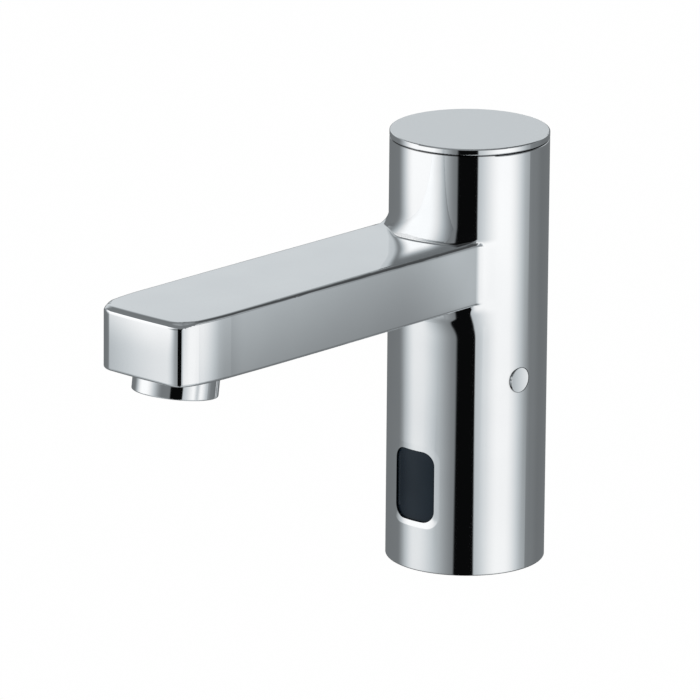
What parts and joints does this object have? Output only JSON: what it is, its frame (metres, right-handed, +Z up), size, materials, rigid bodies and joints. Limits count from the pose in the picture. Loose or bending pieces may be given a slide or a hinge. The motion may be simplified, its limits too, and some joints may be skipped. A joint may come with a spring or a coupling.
{
  "type": "sensor tap",
  "caption": "Chrome basin tap: round column, level rectangular spout, infrared sensor window low on the front, tipped aerator under the tip, lift-off cap over the battery.",
  "frame": {"origin": "centre of the base on the deck, on the column's axis, in the mouth of the fixing thread", "axes": "+Z up along the column, -Y along the spout, +X to the user's right, where the plug over the temperature setting is"},
  "size_m": [0.048, 0.1676, 0.1323],
  "materials": {
    "chrome": "mirror-polished chrome plating",
    "brass": "machined",
    "rubber": "moulded, matt",
    "copper_tube": "drawn tube",
    "filter_steel": "etched sheet",
    "valve_plastic": "glass-filled moulding",
    "white_plastic": "moulded",
    "steel": "machined",
    "iron": "zinc plated, dull",
    "diaphragm_rubber": "moulded, matt",
    "copper": "taped winding",
    "lead_jacket": "flexible jacket",
    "lens_dark": "smoked, polished",
    "board_green": "solder mask",
    "emitter_clear": "cast clear",
    "receiver_dark": "cast dark",
    "battery_skin": "shrunk sleeve",
    "contact_metal": "plated",
    "screen_plastic": "moulded"
  },
  "bodies": {
    "tap_body": {"body_shell": "chrome", "base_insert": "brass", "base_gasket": "rubber", "riser_o_rings": "rubber", "inlet_filters": "filter_steel", "valve_manifold": "valve_plastic", "spindle_retainer": "brass", "diaphragm": "diaphragm_rubber", "valve_bonnet": "valve_plastic", "bonnet_screws": "steel", "armature_spring": "steel", "coil_bobbin": "white_plastic", "coil_winding": "copper", "solenoid_yoke": "iron", "solenoid_lead": "lead_jacket", "sensor_lens": "lens_dark", "lens_gasket": "rubber", "sensor_housing": "valve_plastic", "sensor_board": "board_green", "ir_emitter": "emitter_clear", "ir_receiver": "receiver_dark", "sensor_back_cover": "valve_plastic", "sensor_screws": "steel", "lead_plugs": "white_plastic", "battery": "battery_skin", "battery_cradle": "white_plastic", "cradle_screws": "steel", "battery_contacts": "contact_metal", "battery_lead": "lead_jacket", "spout_tube": "copper_tube", "tube_o_rings": "rubber", "outlet_adapter": "valve_plastic", "adapter_o_ring": "rubber", "cold_riser": "copper_tube", "check_valve_cold": "white_plastic", "check_spring_cold": "steel", "hot_riser": "copper_tube", "check_valve_hot": "white_plastic", "check_spring_hot": "steel"},
    "cap": {"top_cap": "chrome", "cap_o_ring": "rubber"},
    "plug": {"side_plug": "chrome", "plug_o_ring": "rubber"},
    "spindle": {"mixing_spindle": "brass", "spindle_o_rings": "rubber"},
    "plunger": {"armature": "steel", "armature_seal": "rubber"},
    "diaphragm_centre": {"diaphragm_plate": "white_plastic"},
    "poppet_cold": {"check_poppet_cold": "white_plastic"},
    "poppet_hot": {"check_poppet_hot": "white_plastic"},
    "aerator_core": {"aerator_insert": "white_plastic", "aerator_screen": "screen_plastic", "aerator_gasket": "rubber", "flow_regulator": "white_plastic"},
    "aerator_ring": {"aerator_collar": "chrome"}
  },
  "joints": [
    {"name": "cap_lift", "type": "slide", "parent": "tap_body", "child": "cap", "axis": [0, 0, 1], "range_m": [0, 0.04]},
    {"name": "plug_pull", "type": "slide", "parent": "tap_body", "child": "plug", "axis": [1, 0, 0], "range_m": [0, 0.015]},
    {"name": "mixing_turn", "type": "hinge", "parent": "tap_body", "child": "spindle", "pos_m": [0, -0.003, 0.05975], "axis": [1, 0, 0], "range_deg": [-45, 45]},
    {"name": "armature_slide", "type": "slide", "parent": "tap_body", "child": "plunger", "axis": [0, 1, 0], "range_m": [0, 0.0015], "stiffness_N_per_m": 600, "springref_m": -0.002, "deforming": ["armature_spring"]},
    {"name": "diaphragm_lift", "type": "slide", "parent": "tap_body", "child": "diaphragm_centre", "axis": [0, 1, 0], "range_m": [0, 0.0012], "deforming": ["diaphragm"]},
    {"name": "check_cold", "type": "slide", "parent": "tap_body", "child": "poppet_cold", "axis": [0, 0, 1], "range_m": [0, 0.002], "stiffness_N_per_m": 50, "springref_m": -0.002, "deforming": ["check_spring_cold"]},
    {"name": "check_hot", "type": "slide", "parent": "tap_body", "child": "poppet_hot", "axis": [0, 0, 1], "range_m": [0, 0.002], "stiffness_N_per_m": 50, "springref_m": -0.002, "deforming": ["check_spring_hot"]},
    {"name": "aerator_drop", "type": "slide", "parent": "tap_body", "child": "aerator_core", "axis": [0, -0.1392, -0.9903], "range_m": [0, 0.005]},
    {"name": "aerator_turn", "type": "hinge", "parent": "aerator_core", "child": "aerator_ring", "pos_m": [0, -0.1279, 0.0775], "axis": [0, -0.1392, -0.9903], "range_deg": [0, 1801]}
  ],
  "couplings": [
    {"joint": "diaphragm_lift", "follows": "armature_slide", "ratio": 0.8},
    {"joint": "aerator_turn", "follows": "aerator_drop", "rad_per_m": 6283.2}
  ]
}
